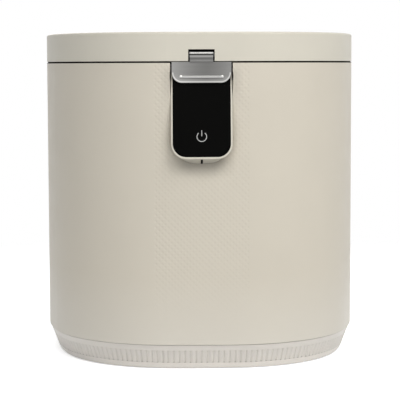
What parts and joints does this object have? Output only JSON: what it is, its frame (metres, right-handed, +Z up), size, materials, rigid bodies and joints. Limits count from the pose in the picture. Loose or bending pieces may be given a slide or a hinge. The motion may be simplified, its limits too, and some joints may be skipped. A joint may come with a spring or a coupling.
{
  "type": "food_waste_composter",
  "caption": "Cream electric food waste composter: ribbed base, hinged lid with steel latch, sloping black touch panel, lift-out bucket with agitator, rear filter drawer.",
  "frame": {"origin": "on the resting surface, under the middle of the housing's footprint", "axes": "+X to the right seen from the front, +Y to the rear (the front with the touch panel faces -Y), +Z up"},
  "size_m": [0.3142, 0.3547, 0.3198],
  "materials": {
    "cream_plastic": "satin",
    "panel_black": "gloss",
    "latch_steel": "brushed",
    "steel": "satin",
    "cast_aluminium": "cast",
    "dark_plastic": "matte",
    "grey_plastic": "matte",
    "black_rubber": "matte",
    "felt": "matte",
    "board_green": "satin",
    "motor_steel": "satin",
    "bronze": "satin",
    "carbon": "matte"
  },
  "bodies": {
    "housing": {"body_shell": "cream_plastic", "base_skirt": "cream_plastic", "base_plate": "dark_plastic", "rubber_feet": "black_rubber", "base_screws": "steel", "top_deck": "grey_plastic", "pot_well": "cast_aluminium", "heater_plate": "cast_aluminium", "insulation_jacket": "felt", "shaft_seal": "black_rubber", "gearbox_tray": "dark_plastic", "gearbox_cover": "cast_aluminium", "motor": "motor_steel", "control_board": "board_green", "exhaust_duct": "grey_plastic", "fan_plenum": "dark_plastic", "fan_frame": "dark_plastic", "filter_sleeve": "grey_plastic", "power_inlet": "dark_plastic", "inlet_pins": "steel", "pod_bezel": "cream_plastic", "pod_glass": "panel_black", "display_board": "board_green", "latch_keeper": "steel", "lid_switch": "dark_plastic", "hinge_pin": "steel"},
    "lid": {"lid_shell": "cream_plastic", "lid_liner": "grey_plastic", "lid_gasket": "black_rubber", "liner_screws": "steel", "latch_pin": "steel"},
    "latch": {"latch_plate": "latch_steel"},
    "bucket": {"bucket": "cast_aluminium", "bucket_foot_ring": "steel", "bucket_bushing": "bronze"},
    "bail": {"bail": "steel", "bail_grip": "dark_plastic"},
    "agitator": {"agitator": "cast_aluminium", "agitator_dog": "dark_plastic"},
    "drive": {"drive_shaft": "steel", "drive_gear": "grey_plastic"},
    "pinion": {"motor_pinion": "bronze"},
    "fan": {"fan_rotor": "dark_plastic"},
    "drawer": {"filter_drawer": "cream_plastic", "carbon_cartridge": "carbon"},
    "plunger": {"switch_plunger": "grey_plastic"}
  },
  "joints": [
    {"name": "lid_hinge", "type": "hinge", "parent": "housing", "child": "lid", "pos_m": [0, 0.1722, 0.2988], "axis": [-1, 0, 0], "range_deg": [0, 110], "deforming": ["latch_keeper"]},
    {"name": "latch_hinge", "type": "hinge", "parent": "lid", "child": "latch", "pos_m": [0, -0.1626, 0.2985], "axis": [-1, 0, 0], "range_deg": [0, 80], "deforming": ["latch_keeper"]},
    {"name": "bucket_lift", "type": "slide", "parent": "housing", "child": "bucket", "axis": [0, 0, 1], "range_m": [0, 0.212]},
    {"name": "bail_pivot", "type": "hinge", "parent": "bucket", "child": "bail", "pos_m": [0, -0.028, 0.2732], "axis": [-1, 0, 0], "range_deg": [0, 90]},
    {"name": "drive_spin", "type": "hinge", "parent": "housing", "child": "drive", "pos_m": [0, -0.028, 0.018], "axis": [0, 0, 1], "continuous": true},
    {"name": "motor_spin", "type": "hinge", "parent": "housing", "child": "pinion", "pos_m": [0, 0.042, 0.018], "axis": [0, 0, 1], "continuous": true},
    {"name": "agitator_spin", "type": "hinge", "parent": "bucket", "child": "agitator", "pos_m": [0, -0.028, 0.1], "axis": [0, 0, 1], "continuous": true},
    {"name": "fan_spin", "type": "hinge", "parent": "housing", "child": "fan", "pos_m": [0, 0.124, 0.1], "axis": [0, 0, 1], "continuous": true},
    {"name": "drawer_slide", "type": "slide", "parent": "housing", "child": "drawer", "axis": [0, 1, 0], "range_m": [0, 0.075]},
    {"name": "plunger_slide", "type": "slide", "parent": "housing", "child": "plunger", "axis": [0, 0, 1], "range_m": [0, 0.002]}
  ],
  "couplings": [
    {"joint": "bucket_lift", "follows": "lid_hinge", "m_per_rad": 0.1104},
    {"joint": "bail_pivot", "follows": "lid_hinge", "ratio": 0.818},
    {"joint": "plunger_slide", "follows": "lid_hinge", "m_per_rad": 0.00104},
    {"joint": "motor_spin", "follows": "drive_spin", "ratio": -3},
    {"joint": "agitator_spin", "follows": "drive_spin", "ratio": 1}
  ]
}
